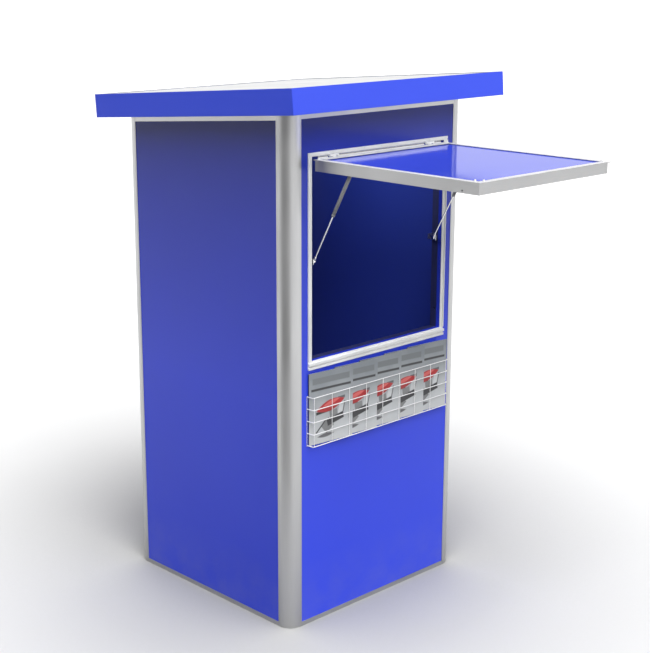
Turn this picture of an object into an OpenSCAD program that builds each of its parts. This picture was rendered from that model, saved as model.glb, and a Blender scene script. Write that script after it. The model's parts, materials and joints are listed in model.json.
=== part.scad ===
// Walk-in newspaper kiosk: one-person booth with a lift-up serving flap,
// a wire magazine rack below the window and a staff door at the back.
// Millimetres, +Z up. Origin: floor level, centre of the square plan.
// The serving window faces -Y. Left and right are as seen from the street.

/* [Booth] */
// Width and depth over the corner posts
booth_w = 1058; // [980:1:1300]
// Height of the front wall, floor to underside of roof
wall_h = 2200; // [2180:1:2400]
// Fall of the roof towards the back, in degrees
roof_fall = 4.66; // [2:0.01:6]
// Radius of the rounded corner posts
post_r = 64; // [50:1:70]
// Width of the flat lip on each side of a post
post_lip = 7; // [5:1:10]
// Thickness of the wall panels
panel_t = 20; // [16:1:24]
// Height of the bottom rails
bottom_rail_h = 20; // [16:1:40]
// Visible height of the top rails
top_rail_h = 25; // [20:1:40]

/* [Roof] */
// Overhang at the left and right
over_side = 100; // [60:1:160]
// Overhang at the front
over_front = 138; // [100:1:200]
// Overhang at the back
over_rear = 76; // [50:1:120]
// Depth of the roof edge
roof_t = 102; // [90:1:130]

/* [Serving window] */
// Clear width of the window opening
win_w = 800; // [740:1:800]
// Height of the window opening above the floor
win_sill = 1178; // [1150:1:1200]
// Clear height of the window opening
win_h = 844; // [820:1:844]
// Width of the window frame's face
frame_w = 22; // [18:1:24]
// Depth of the flap's frame
flap_depth = 47; // [42:1:50]
// Diameter of the strut cylinders
strut_d = 15; // [12:1:15]

/* [Magazine rack] */
// Width over the side wires
rack_w = 852; // [820:1:856]
// Height from the bottom wire to the top wire
rack_h = 213; // [180:1:240]
// Depth from the wall to the front wires
rack_d = 36; // [34:1:44]
// Height of the bottom wire above the floor
rack_z = 815; // [700:1:820]
// Number of magazines in the rack
magazine_count = 5; // [1:1:5]

/* [Staff door] */
// Width of the door leaf
door_w = 810; // [780:1:812]
// Height of the door leaf
door_h = 1969; // [1900:1:1969]
// Height of the door lock above the floor
lock_z = 960; // [900:1:1100]

/* [View] */
// Piece to show, or all

/* [Hidden] */
$fn = 64;
hw = booth_w / 2;
hd = booth_w / 2;
fall = tan(roof_fall);
post_w = post_r + post_lip;
post_t = 3;
lip_t = 2;
flange_t = 3;
flange_w = 20;
seat = 2;                       // gap from a post to a panel's edge
rail_groove = 8;                // floor of the panel groove in a bottom rail
cap_t = 12;                     // top rail above the panels
skin_in = lip_t + panel_t;      // outer face to the back of a wall panel
back_z = wall_h - booth_w * fall;

// roof, in the tilted frame of on_roof()
rx = hw + over_side;
ry0 = -over_front / cos(roof_fall);
ry1 = (booth_w + over_rear) / cos(roof_fall);
fascia_t = 3;
fascia_lip = 12;
ceiling_t = 18;
sheet_t = 3;

// window and flap
wx = win_w / 2;
win_top = win_sill + win_h;
batten = 35;                    // timber of the window sub-frame
hinge_y = -hd - 13;
hinge_z = win_top - 1;
flap_top = hinge_z - 8.7;
flap_x = wx - 5;
flap_len = win_h - 6;
rail_t = 12;
edge_t = 3;
edge_out = 10;
edge_in = 8;
flap_panel_t = 8;
knuckle_x = 290;
knuckle_r = 5.5;
pin_r = 2.5;
leaf_t = 2.5;

// gas struts
strut_x = flap_x - 27;
strut_b = 178;                  // flap pivot, out from the hinge
strut_drop = 43;                // flap pivot, below the hinge
foot_y = -hd + 22;
foot_z = hinge_z - 431;
top_y = hinge_y - strut_b;
top_z = hinge_z - strut_drop;
strut_len = norm([foot_y - top_y, foot_z - top_z]);
strut_lean = atan2(foot_y - top_y, top_z - foot_z);
cyl_len = 216;
rod_r = 3;
eye_w = 10;

// flap bolts
bolt_b = 760;
bolt_drop = 47;
bolt_r = 4;

// magazines
mag = [236, 4, 312];
mag_pitch = 151;
mag_turn = 5.2;

// rack wires
bar_r = 2;
wire_r = 1.5;
bend = 8;
rack_x = rack_w / 2 - bar_r;
front_y = -hd + lip_t - rack_d;

// door
door_x = door_w / 2;
door_z0 = 23;
door_t = 40;
jamb_w = hw - post_w - door_x - 3;
door_head = door_z0 + door_h + 3;
door_y0 = hd - door_t;
pivot_x = -door_x - 4.5;
pivot_y = hd + 7;
stile_w = 45;
lock_x = door_x - 30;
barrel_r = 9;
turn_r = 4;
pull_x = door_x - 30;
pull_z = lock_z + 70;
pull_len = 300;
pull_out = 45;
bolt = [40, 12, 20];            // deadbolt, drawn back into the leaf
bolt_throw = 16;
bolt_y = hd - door_t / 2;
bolt_z = lock_z + 22;

BLUE = [0.25, 0.33, 0.93];
SILVER = [0.78, 0.79, 0.8];
WHITE = [0.93, 0.94, 0.95];
DARK = [0.13, 0.14, 0.18];
STEEL = [0.6, 0.61, 0.63];

// ---------- helpers ----------

// frame of the roof's underside: y along the slope, z square to it
module on_roof() {
    translate([0, -hd, wall_h]) rotate([-roof_fall, 0, 0]) children();
}

// trims children to what lies below the roof, less a gap
module under_roof(gap = 0) {
    difference() {
        children();
        on_roof() translate([-2 * booth_w, -booth_w, -gap]) cube([4 * booth_w, 4 * booth_w, 900]);
    }
}

// puts a piece drawn for the front wall, with y inwards from the face, on a side
module on_wall(turn) {
    rotate([0, 0, turn]) translate([0, -hd, 0]) children();
}

// cube centred on x
module xcube(size) {
    translate([-size[0] / 2, 0, 0]) cube(size);
}

// cylinder along +X
module xcyl(r, len) {
    rotate([0, 90, 0]) cylinder(r = r, h = len);
}

// cylinder along +Y
module ycyl(r, len) {
    rotate([-90, 0, 0]) cylinder(r = r, h = len);
}

module both_sides() {
    children();
    mirror([1, 0, 0]) children();
}

// ---------- booth frame ----------

// quarter-round profile with its outer corner at the origin
module post_profile() {
    difference() {
        intersection() {
            translate([post_r, post_r]) circle(r = post_r);
            square(post_r);
        }
        intersection() {
            translate([post_r, post_r]) circle(r = post_r - post_t);
            square(post_r - post_t);
        }
    }
    translate([post_r, 0]) square([post_lip, lip_t]);
    translate([0, post_r]) square([lip_t, post_lip]);
    translate([post_r, skin_in]) square([flange_w, flange_t]);
    translate([skin_in, post_r]) square([flange_t, flange_w]);
}

module post(turn) {
    color(SILVER) under_roof() rotate([0, 0, turn]) translate([-hd, -hd, 0])
        linear_extrude(wall_h + 20) post_profile();
}

module front_left_post() { post(0); }
module front_right_post() { post(90); }
module rear_right_post() { post(180); }
module rear_left_post() { post(270); }

module bottom_rail(turn) {
    color(SILVER) on_wall(turn) {
        xcube([booth_w - 2 * post_w, skin_in, rail_groove]);
        xcube([booth_w - 2 * post_w, lip_t, bottom_rail_h]);
        translate([0, skin_in, 0])
            xcube([booth_w - 2 * (post_r + flange_w + 1), 5, bottom_rail_h]);
    }
}

module front_bottom_rail() { bottom_rail(0); }
module left_bottom_rail() { bottom_rail(270); }
module right_bottom_rail() { bottom_rail(90); }

// slab of space between two levels below the roof, trimmed to a wall's band
module roof_band(from, to, depth0, depth1, turn, width) {
    intersection() {
        on_roof() translate([-booth_w, -200, -from]) cube([2 * booth_w, booth_w + 400, from - to]);
        on_wall(turn) translate([0, depth0, back_z - 200])
            xcube([width, depth1 - depth0, 500]);
    }
}

module top_rail(turn) {
    span = booth_w - 2 * post_w;
    color(SILVER) {
        roof_band(top_rail_h, 0, 0, lip_t, turn, span);
        roof_band(cap_t, 0, lip_t - 0.5, skin_in, turn, span);
        roof_band(top_rail_h, 0, skin_in, skin_in + 5, turn,
            booth_w - 2 * (post_r + flange_w + 1));
    }
}

module front_top_rail() { top_rail(0); }
module left_top_rail() { top_rail(270); }
module right_top_rail() { top_rail(90); }
module rear_top_rail() { top_rail(180); }

module floor_panel() {
    inner = hw - skin_in - 6;
    mid = hw - post_r - flange_w - 2;
    color([0.45, 0.4, 0.34]) {
        translate([0, -inner, 0]) xcube([2 * mid, inner + door_y0 - 6, 18]);
        translate([0, -mid, 0]) xcube([2 * inner, 2 * mid, 18]);
    }
}

// ---------- walls ----------

module wall_panel(turn, z0) {
    under_roof(cap_t) on_wall(turn) translate([0, lip_t, z0])
        xcube([booth_w - 2 * (post_r + seat), panel_t, wall_h - z0]);
}

module left_wall_panel() { color(BLUE) wall_panel(270, rail_groove); }
module right_wall_panel() { color(BLUE) wall_panel(90, rail_groove); }
module rear_transom_panel() { color(BLUE) wall_panel(180, door_head + 50); }

module front_wall_panel() {
    color(BLUE) difference() {
        wall_panel(0, rail_groove);
        translate([0, -hd - 1, win_sill]) xcube([win_w, panel_t + 10, win_h]);
    }
}

// ---------- window frame ----------

module window_jamb() {
    face = -hd + lip_t;
    color(WHITE) {
        translate([wx, face - 3, win_sill]) cube([frame_w, 3, win_h]);
        translate([wx + frame_w - 6, face - 7, win_sill]) cube([6, 7, win_h]);
    }
}

module window_right_jamb() { window_jamb(); }
module window_left_jamb() { mirror([1, 0, 0]) window_jamb(); }

module window_head() {
    color(WHITE) translate([0, -hd + lip_t - 3, win_top])
        xcube([win_w + 2 * frame_w, 3, 16]);
}

module window_sill() {
    face = -hd + lip_t;
    width = win_w + 2 * frame_w;
    color(WHITE) {
        translate([0, face - 3, win_sill - 37]) xcube([width, 3, 37]);
        translate([0, face - 12, win_sill - 20]) xcube([width, 12, 12]);
        translate([0, face - 9, win_sill - 37]) xcube([width, 9, 10]);
    }
}

// ring of square timber behind the front panel, bored for the flap bolts
module window_subframe() {
    y0 = -hd + skin_in;
    color(DARK) {
        both_sides() difference() {
            translate([wx, y0, win_sill - batten]) cube([batten, batten, win_h + 2 * batten]);
            translate([wx - 1, hinge_y + bolt_drop, hinge_z - bolt_b]) xcyl(bolt_r + 1, 26);
        }
        for (z = [win_sill - batten, win_top])
            translate([0, y0, z]) xcube([win_w, batten, batten]);
    }
}

// ---------- flap hinge ----------

module at_hinges() {
    for (s = [-1, 1]) translate([s * knuckle_x, hinge_y, hinge_z]) children();
}

module flap_hinge_wall_leaf() {
    face = -hd + lip_t - 3;
    width = win_w + 2 * frame_w - 2;
    color(WHITE) {
        translate([0, face - leaf_t, hinge_z + 6]) xcube([width, leaf_t, 11]);
        at_hinges() for (s = [-1, 1]) difference() {
            union() {
                translate([s * 17 - 8, 0, 0]) xcyl(knuckle_r, 16);
                translate([s * 17 - 8, 0, 0]) cube([16, face - hinge_y, knuckle_r]);
                translate([s * 17 - 8, face - leaf_t - hinge_y, 0]) cube([16, leaf_t, 6.5]);
            }
            translate([s * 17 - 9, 0, 0]) xcyl(pin_r + 0.05, 18);
        }
    }
}

module flap_hinge_pins() {
    color(STEEL) at_hinges() translate([-26, 0, 0]) xcyl(pin_r, 52);
}

module flap_hinge_flap_leaf() {
    color(WHITE) {
        translate([0, hinge_y - 38, flap_top]) xcube([2 * (flap_x - 22), 35, leaf_t]);
        at_hinges() difference() {
            union() {
                translate([-8.5, 0, 0]) xcyl(knuckle_r, 17);
                translate([-8.5, -knuckle_r, flap_top - hinge_z]) cube([17, 7, hinge_z - flap_top]);
            }
            translate([-9, 0, 0]) xcyl(pin_r + 0.05, 18);
        }
    }
}

// ---------- flap, raised ----------

// box in flap terms: across, out from the hinge, and down from the flap's face
module flap_box(x0, x1, b0, b1, d0, d1) {
    translate([x0, hinge_y - b1, flap_top - d1]) cube([x1 - x0, b1 - b0, d1 - d0]);
}

module flap_side_rail() {
    color(SILVER) difference() {
        union() {
            flap_box(flap_x - rail_t, flap_x, 1, flap_len, edge_t, flap_depth);
            flap_box(flap_x - rail_t - edge_in, flap_x + edge_out, 1, flap_len - 20, 0, edge_t);
        }
        translate([flap_x - rail_t - 1, hinge_y - bolt_b, hinge_z - bolt_drop])
            xcyl(bolt_r + 0.06, rail_t + 2);
    }
}

module flap_right_rail() { flap_side_rail(); }
module flap_left_rail() { mirror([1, 0, 0]) flap_side_rail(); }

module flap_outer_rail() {
    x = flap_x - rail_t;
    color(SILVER) {
        flap_box(-x, x, flap_len - rail_t, flap_len, edge_t, flap_depth);
        flap_box(-flap_x - edge_out, flap_x + edge_out, flap_len - 20, flap_len + edge_out, 0, edge_t);
    }
}

module flap_hinge_rail() {
    x = flap_x - rail_t;
    color(SILVER) {
        flap_box(-x, x, 1, 1 + rail_t, edge_t, flap_depth);
        flap_box(-x + edge_in, x - edge_in, 1, 21, 0, edge_t);
    }
}

module flap_panel() {
    x = flap_x - rail_t;
    color(BLUE) flap_box(-x, x, 1 + rail_t, flap_len - rail_t, edge_t, edge_t + flap_panel_t);
}

module flap_bolt_housings() {
    x = flap_x - rail_t;
    color(STEEL) both_sides() difference() {
        translate([x - 48, hinge_y - bolt_b - 10, hinge_z - bolt_drop - 8]) cube([48, 20, 16]);
        translate([x - 49, hinge_y - bolt_b, hinge_z - bolt_drop]) xcyl(bolt_r + 0.06, 50);
    }
}

module flap_bolt() {
    color(SILVER) translate([flap_x - rail_t - 83, hinge_y - bolt_b, hinge_z - bolt_drop]) {
        xcyl(bolt_r, 90);
        xcyl(7, 12);
    }
}

module flap_right_bolt() { flap_bolt(); }
module flap_left_bolt() { mirror([1, 0, 0]) flap_bolt(); }

// ---------- gas struts ----------

// frame at the flap pivot with -z pointing to the wall pivot
module at_strut() {
    translate([strut_x, top_y, top_z]) rotate([strut_lean, 0, 0]) children();
}

module strut_flap_bracket() {
    color(STEEL) {
        translate([flap_x - rail_t - 3, top_y - 15, top_z - 12]) cube([3, 30, 24]);
        translate([strut_x - 6, top_y, top_z]) xcyl(rod_r, flap_x - rail_t - 2 - strut_x + 6);
        translate([strut_x + 6, top_y, top_z]) xcyl(5, flap_x - rail_t - 2 - strut_x - 6);
        translate([strut_x - 8, top_y, top_z]) xcyl(5, 2.5);
    }
}

module strut_flap_brackets() { both_sides() strut_flap_bracket(); }

module strut_wall_brackets() {
    arm_x = strut_x + 8;
    back_y = -hd + skin_in + batten;
    color(STEEL) both_sides() {
        translate([arm_x, foot_y - 8, foot_z - 12]) cube([3, back_y + 4 - foot_y + 8, 24]);
        translate([arm_x, back_y, foot_z - 12]) cube([wx + 30 - arm_x, 4, 24]);
        translate([strut_x + 6, foot_y, foot_z]) xcyl(rod_r, 3);
    }
}

module strut_cylinder() {
    color(STEEL) at_strut() difference() {
        union() {
            translate([-eye_w / 2, 0, 0]) xcyl(8, eye_w);
            translate([0, 0, -cyl_len]) cylinder(d = strut_d, h = cyl_len - 5);
        }
        translate([-eye_w, 0, 0]) xcyl(rod_r + 0.05, 2 * eye_w);
        translate([0, 0, -cyl_len - 1]) cylinder(r = rod_r + 0.05, h = cyl_len - 13);
    }
}

module strut_rod() {
    color(WHITE) at_strut() {
        translate([0, 0, -strut_len + 22]) cylinder(r = rod_r, h = strut_len - 22 - cyl_len + 10);
        translate([0, 0, -strut_len + 4]) cylinder(r = 5, h = 20);
        translate([-eye_w / 2, 0, -strut_len]) xcyl(7, eye_w);
    }
}

module right_strut_cylinder() { strut_cylinder(); }
module left_strut_cylinder() { translate([-2 * strut_x, 0, 0]) strut_cylinder(); }
module right_strut_rod() { strut_rod(); }
module left_strut_rod() { translate([-2 * strut_x, 0, 0]) strut_rod(); }

// ---------- magazine rack ----------

// U-shaped bar, open towards the wall
module u_bar() {
    translate([-rack_x + bend, front_y, 0]) xcyl(bar_r, 2 * (rack_x - bend));
    both_sides() {
        translate([rack_x, front_y + bend, 0]) ycyl(bar_r, rack_d - bend);
        translate([rack_x - bend, front_y + bend, 0]) rotate([0, 0, -90])
            rotate_extrude(angle = 90) translate([bend, 0]) circle(r = bar_r);
    }
}

module rack_bars() {
    color(WHITE) for (i = [0:4]) translate([0, 0, rack_z + i * rack_h / 4]) u_bar();
}

// front wire that turns under the rack as part of its floor
module l_wire() {
    y = front_y + bar_r + wire_r;
    z = rack_z - bar_r - wire_r;
    b = 4;
    translate([0, y, z + b]) cylinder(r = wire_r, h = rack_h + bar_r + wire_r - b + 2);
    translate([0, y + b, z + b]) rotate([90, 0, -90]) rotate_extrude(angle = -90)
        translate([b, 0]) circle(r = wire_r);
    translate([0, y + b, z]) ycyl(wire_r, -hd + lip_t - y - b);
}

module rack_uprights() {
    x1 = rack_x - bend - 2;
    color(WHITE) {
        for (i = [0:8]) translate([-x1 + i * x1 / 4, 0, 0]) l_wire();
        both_sides() translate([rack_x + bar_r + wire_r, -hd + lip_t - wire_r, rack_z - 4])
            cylinder(r = wire_r, h = rack_h + 8);
    }
}

module magazines() {
    y = -hd + lip_t - 6.4;
    for (i = [0:magazine_count - 1]) color([0.72, 0.74, 0.77])
        translate([-rack_x + bar_r + 1 + i * mag_pitch, y, rack_z - bar_r])
            rotate([0, 0, -mag_turn]) translate([0, -mag[1] / 2, 0]) cube(mag);
}

// ---------- roof ----------

module roof_box(x0, x1, y0, y1, z0, z1) {
    on_roof() translate([x0, y0, z0]) cube([x1 - x0, y1 - y0, z1 - z0]);
}

module end_fascia(y_out, dir) {
    y_in = y_out + dir * fascia_t;
    y_lip = y_out + dir * fascia_lip;
    color(BLUE) {
        roof_box(-rx, rx, min(y_out, y_in), max(y_out, y_in), 0, roof_t);
        for (z = [0, roof_t - fascia_t])
            roof_box(-rx, rx, min(y_out, y_lip), max(y_out, y_lip), z, z + fascia_t);
    }
}

module side_fascia() {
    color(BLUE) {
        roof_box(rx - fascia_t, rx, ry0 + fascia_t, ry1 - fascia_t, fascia_t, roof_t - fascia_t);
        for (z = [0, roof_t - fascia_t])
            roof_box(rx - fascia_lip, rx, ry0 + fascia_lip, ry1 - fascia_lip, z, z + fascia_t);
    }
}

module roof_front_fascia() { end_fascia(ry0, 1); }
module roof_rear_fascia() { end_fascia(ry1, -1); }
module roof_right_fascia() { side_fascia(); }
module roof_left_fascia() { mirror([1, 0, 0]) side_fascia(); }

module roof_sheet() {
    x = rx - fascia_t - 0.5;
    top = roof_t - fascia_t;
    color([1, 1, 1]) roof_box(-x, x, ry0 + fascia_t + 0.5, ry1 - fascia_t - 0.5, top - sheet_t, top);
}

module roof_rafters() {
    z0 = ceiling_t;
    z1 = roof_t - fascia_t - sheet_t;
    x = rx - fascia_t - 1;
    color(STEEL) for (i = [0:3]) {
        y = ry0 + 30 + i * (ry1 - ry0 - 100) / 3;
        difference() {
            roof_box(-x, x, y, y + 40, z0, z1);
            roof_box(-x - 1, x + 1, y + 3, y + 37, z0 + 3, z1 - 3);
        }
    }
}

module ceiling_panel() {
    x = rx - fascia_lip - 0.5;
    color(WHITE) roof_box(-x, x, ry0 + fascia_lip + 0.5, ry1 - fascia_lip - 0.5, 0, ceiling_t);
}

// ---------- staff door ----------

// deadbolt grown by a running gap, from x0 to x1
module bolt_pocket(x0, x1, gap) {
    translate([x0, bolt_y - bolt[1] / 2 - gap, bolt_z - bolt[2] / 2 - gap])
        cube([x1 - x0, bolt[1] + 2 * gap, bolt[2] + 2 * gap]);
}

module door_frame_jambs() {
    color(SILVER) difference() {
        both_sides() {
            translate([door_x + 3, hd - 21, 0]) cube([jamb_w, 21, door_head]);
            translate([door_x + 3, door_y0 - 5, 0]) cube([jamb_w - 14, door_t - 16, door_head]);
            translate([door_x - 9, door_y0 - 19, 21]) cube([jamb_w - 6, 14, door_head - 21]);
        }
        bolt_pocket(door_x, door_x + bolt_throw + 2, 1);
    }
}

module door_frame_head() {
    color(SILVER) translate([0, 0, door_head]) {
        translate([0, hd - 21, 0]) xcube([booth_w - 2 * post_w, 21, 50]);
        translate([0, door_y0 - 5, 0]) xcube([booth_w - 2 * post_w - 28, door_t - 16, 50]);
    }
}

module door_threshold() {
    color(SILVER) translate([0, door_y0 - 5, 0]) xcube([door_w + 5, door_t + 5, bottom_rail_h]);
}

module door_leaf_frame() {
    color(SILVER) difference() {
        translate([0, door_y0, door_z0]) xcube([door_w, door_t, door_h]);
        translate([0, door_y0 - 1, door_z0 + stile_w])
            xcube([door_w - 2 * stile_w, door_t + 2, door_h - 2 * stile_w]);
        bolt_pocket(door_x - bolt[0] - 1, door_x + 1, 0.3);
        translate([lock_x, door_y0 - 1, lock_z]) ycyl(barrel_r + 0.05, door_t + 2);
    }
}

module door_panel() {
    color(BLUE) translate([0, hd - 30, door_z0 + stile_w])
        xcube([door_w - 2 * stile_w, panel_t, door_h - 2 * stile_w]);
}

module at_door_hinges() {
    for (z = [230, 1010, 1790]) translate([pivot_x, pivot_y, z]) children();
}

// one side of a butt hinge: plate and barrel pieces
module hinge_half(dir, spans) {
    difference() {
        union() {
            translate([dir > 0 ? 1.5 : -30, -7, -45]) cube([28.5, 2.5, 90]);
            for (s = spans) translate([0, 0, s[0]]) {
                cylinder(r = 7, h = s[1] - s[0]);
                translate([dir > 0 ? 0 : -8, -7, 0]) cube([8, 2.5, s[1] - s[0]]);
            }
        }
        translate([0, 0, -46]) cylinder(r = 3.05, h = 92);
        if (dir > 0) for (z = [-45.5, 14.75]) translate([-8, -8, z]) cube([15.6, 16, 30.75]);
        if (dir < 0) translate([-7.6, -8, -15.25]) cube([15.2, 16, 30.5]);
    }
}

module door_hinge_frame_leaves() {
    color(STEEL) at_door_hinges() hinge_half(-1, [[-45, -15.25], [15.25, 45]]);
}

module door_hinge_leaf_leaves() {
    color(STEEL) at_door_hinges() hinge_half(1, [[-14.75, 14.75]]);
}

module door_hinge_pins() {
    color(SILVER) at_door_hinges() translate([0, 0, -47]) cylinder(r = 3, h = 94);
}

// D-shaped pull on the outside and on the inside of the leaf
module door_pull_handles() {
    color(STEEL) for (side = [[hd, 1], [door_y0, -1]]) {
        grip_y = side[0] + side[1] * pull_out;
        translate([pull_x, grip_y, pull_z]) cylinder(r = 9, h = pull_len);
        for (z = [pull_z + 20, pull_z + pull_len - 20]) {
            translate([pull_x, min(side[0], grip_y), z]) ycyl(7, pull_out);
            translate([pull_x, min(side[0], side[0] + side[1] * 4), z]) ycyl(14, 4);
        }
    }
}

// barrel through the leaf with a collar on each face
module door_lock_cylinder() {
    color([0.75, 0.68, 0.45]) translate([lock_x, 0, lock_z]) difference() {
        union() {
            translate([0, door_y0 - 3, 0]) ycyl(barrel_r, door_t + 8);
            translate([0, door_y0 - 3, 0]) ycyl(18, 3);
            translate([0, hd, 0]) ycyl(18, 3);
        }
        translate([0, door_y0 - 4, 0]) ycyl(turn_r + 0.06, 21);
    }
}

module door_thumb_turn() {
    color(SILVER) translate([lock_x, 0, lock_z]) {
        translate([0, door_y0 - 12, 0]) ycyl(turn_r, 27);
        translate([0, door_y0 - 12, 0]) ycyl(12, 8);
        translate([-4, door_y0 - 26, -18]) cube([8, 15, 36]);
    }
}

module door_deadbolt() {
    color(STEEL) bolt_pocket(door_x - bolt[0] - 0.5, door_x - 0.5, 0);
}

// ---------- output ----------

front_left_post();
front_right_post();
rear_left_post();
rear_right_post();
front_bottom_rail();
left_bottom_rail();
right_bottom_rail();
door_threshold();
front_top_rail();
left_top_rail();
right_top_rail();
rear_top_rail();
floor_panel();
left_wall_panel();
right_wall_panel();
front_wall_panel();
rear_transom_panel();
window_left_jamb();
window_right_jamb();
window_head();
window_sill();
window_subframe();
flap_hinge_wall_leaf();
flap_hinge_pins();
strut_wall_brackets();
rack_bars();
rack_uprights();
magazines();
roof_front_fascia();
roof_rear_fascia();
roof_left_fascia();
roof_right_fascia();
roof_sheet();
roof_rafters();
ceiling_panel();
door_frame_jambs();
door_frame_head();
door_hinge_frame_leaves();
door_hinge_pins();
flap_left_rail();
flap_right_rail();
flap_outer_rail();
flap_hinge_rail();
flap_panel();
flap_hinge_flap_leaf();
strut_flap_brackets();
flap_bolt_housings();
flap_left_bolt();
flap_right_bolt();
left_strut_cylinder();
left_strut_rod();
right_strut_cylinder();
right_strut_rod();
door_panel();
door_leaf_frame();
door_hinge_leaf_leaves();
door_pull_handles();
door_lock_cylinder();
door_thumb_turn();
door_deadbolt();
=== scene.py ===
"""Looks of the walk-in newspaper kiosk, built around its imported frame.

Metres, in the frame of the CAD model: origin at floor level under the centre of the booth, +Z up, -Y towards
the customer. Places come from the CAD nodes' boxes and from the joints.
"""

import json
import math
import random

import bmesh
import bpy
from mathutils import Matrix, Vector


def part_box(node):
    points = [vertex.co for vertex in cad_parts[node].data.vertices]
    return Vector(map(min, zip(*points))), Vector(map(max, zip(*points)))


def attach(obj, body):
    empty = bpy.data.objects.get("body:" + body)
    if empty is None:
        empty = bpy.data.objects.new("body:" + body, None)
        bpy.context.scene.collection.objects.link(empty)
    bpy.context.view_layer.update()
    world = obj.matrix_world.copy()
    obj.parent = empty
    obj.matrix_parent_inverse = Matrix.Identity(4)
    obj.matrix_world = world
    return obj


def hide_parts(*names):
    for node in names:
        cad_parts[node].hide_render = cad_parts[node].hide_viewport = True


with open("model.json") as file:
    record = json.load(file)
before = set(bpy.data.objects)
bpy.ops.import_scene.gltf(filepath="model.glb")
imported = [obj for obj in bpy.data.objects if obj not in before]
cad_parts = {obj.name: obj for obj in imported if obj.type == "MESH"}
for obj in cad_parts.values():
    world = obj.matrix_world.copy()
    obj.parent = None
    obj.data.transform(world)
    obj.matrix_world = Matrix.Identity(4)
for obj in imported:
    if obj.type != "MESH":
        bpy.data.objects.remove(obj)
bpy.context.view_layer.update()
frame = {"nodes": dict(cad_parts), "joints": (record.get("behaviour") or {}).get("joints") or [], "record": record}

RECORD = frame["record"]
NODE_SLOT = {s["node"]: s["material_slot"] for s in RECORD["subparts"]}
NODE_BODY = {n: b for b, nodes in RECORD["behaviour"]["bodies"].items() for n in nodes}
JOINTS = {j["name"]: j for j in frame["joints"]}
MM = 0.001
X_AXIS, Y_AXIS, Z_AXIS = Vector((1, 0, 0)), Vector((0, 1, 0)), Vector((0, 0, 1))
XY, YZ = (X_AXIS, Y_AXIS), (Y_AXIS, Z_AXIS)

# -------- materials

RANGE_SOCKETS = ("From Min", "From Max", "To Min", "To Max")
NOISE_SPAN = (0.3, 0.7)
WARM_DUST, BLUE_DUST, GREY_DUST = (0.42, 0.4, 0.37), (0.33, 0.34, 0.42), (0.42, 0.41, 0.4)
# painted shade under the eaves: the near-black navy that the wall blue darkens towards, and the heights it deepens
# between
EAVES_PAINTED_SHADE_COLOUR = (0.004, 0.005, 0.02)
EAVES_PAINTED_SHADE_HEIGHTS = (1.0, 2.15)


class Look:
    """A Principled material under construction: adds nodes and links them."""

    def __init__(self, name, metallic=0.0, coat=0.0, coat_rough=0.03, specular=0.5):
        self.material = bpy.data.materials.new(name)
        self.material.use_nodes = True
        self.tree = self.material.node_tree
        self.shader = self.tree.nodes["Principled BSDF"]
        self.shader.inputs["Metallic"].default_value = metallic
        self.shader.inputs["Coat Weight"].default_value = coat
        self.shader.inputs["Coat Roughness"].default_value = coat_rough
        self.shader.inputs["Specular IOR Level"].default_value = specular
        self.coords = self.tree.nodes.new("ShaderNodeTexCoord")
        self.normal = None

    def link(self, out, socket):
        self.tree.links.new(out, socket)

    def place(self, stretch=(1, 1, 1)):
        """Coordinates on the piece at rest, stretched along each axis."""
        mapping = self.tree.nodes.new("ShaderNodeMapping")
        mapping.inputs["Scale"].default_value = stretch
        self.link(self.coords.outputs["Object"], mapping.inputs["Vector"])
        return mapping.outputs["Vector"]

    def noise(self, scale, detail=3.0, stretch=(1, 1, 1), rough=0.5):
        node = self.tree.nodes.new("ShaderNodeTexNoise")
        node.inputs["Scale"].default_value = scale
        node.inputs["Detail"].default_value = detail
        node.inputs["Roughness"].default_value = rough
        self.link(self.place(stretch), node.inputs["Vector"])
        return node.outputs["Fac"]

    def cells(self, scale):
        node = self.tree.nodes.new("ShaderNodeTexVoronoi")
        node.inputs["Scale"].default_value = scale
        self.link(self.place(), node.inputs["Vector"])
        return node.outputs["Distance"]

    def remap(self, value, from_low, from_high, to_low, to_high):
        node = self.tree.nodes.new("ShaderNodeMapRange")
        for name, number in zip(RANGE_SOCKETS, (from_low, from_high, to_low, to_high)):
            node.inputs[name].default_value = number
        self.link(value, node.inputs["Value"])
        return node.outputs["Result"]

    def vary(self, value, low, high):
        """Spreads a noise over a range."""
        return self.remap(value, *NOISE_SPAN, low, high)

    def height(self):
        """Height above the ground at rest."""
        split = self.tree.nodes.new("ShaderNodeSeparateXYZ")
        self.link(self.place(), split.inputs["Vector"])
        return split.outputs["Z"]

    def math(self, operation, a, b=0.0):
        node = self.tree.nodes.new("ShaderNodeMath")
        node.operation = operation
        for socket, value in zip(node.inputs, (a, b)):
            if isinstance(value, (int, float)):
                socket.default_value = value
            else:
                self.link(value, socket)
        return node.outputs["Value"]

    def mix(self, factor, first, second):
        node = self.tree.nodes.new("ShaderNodeMix")
        node.data_type = "RGBA"
        self.link(factor, node.inputs["Factor"])
        for socket, value in ((node.inputs["A"], first), (node.inputs["B"], second)):
            if isinstance(value, (tuple, list)):
                socket.default_value = (*value, 1)
            else:
                self.link(value, socket)
        return node.outputs["Result"]

    def bump(self, height, distance, strength=1.0):
        """Adds relief of that depth in metres on top of what is there."""
        node = self.tree.nodes.new("ShaderNodeBump")
        node.inputs["Distance"].default_value = distance
        node.inputs["Strength"].default_value = strength
        self.link(height, node.inputs["Height"])
        if self.normal is not None:
            self.link(self.normal, node.inputs["Normal"])
        self.normal = node.outputs["Normal"]

    def done(self, color, rough):
        self.link(color, self.shader.inputs["Base Color"])
        self.link(rough, self.shader.inputs["Roughness"])
        if self.normal is not None:
            self.link(self.normal, self.shader.inputs["Normal"])
        return self.material


def along(axis, fine, coarse):
    """Stretch for marks that run along one axis."""
    return tuple(coarse if i == "xyz".index(axis) else fine for i in range(3))


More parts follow.
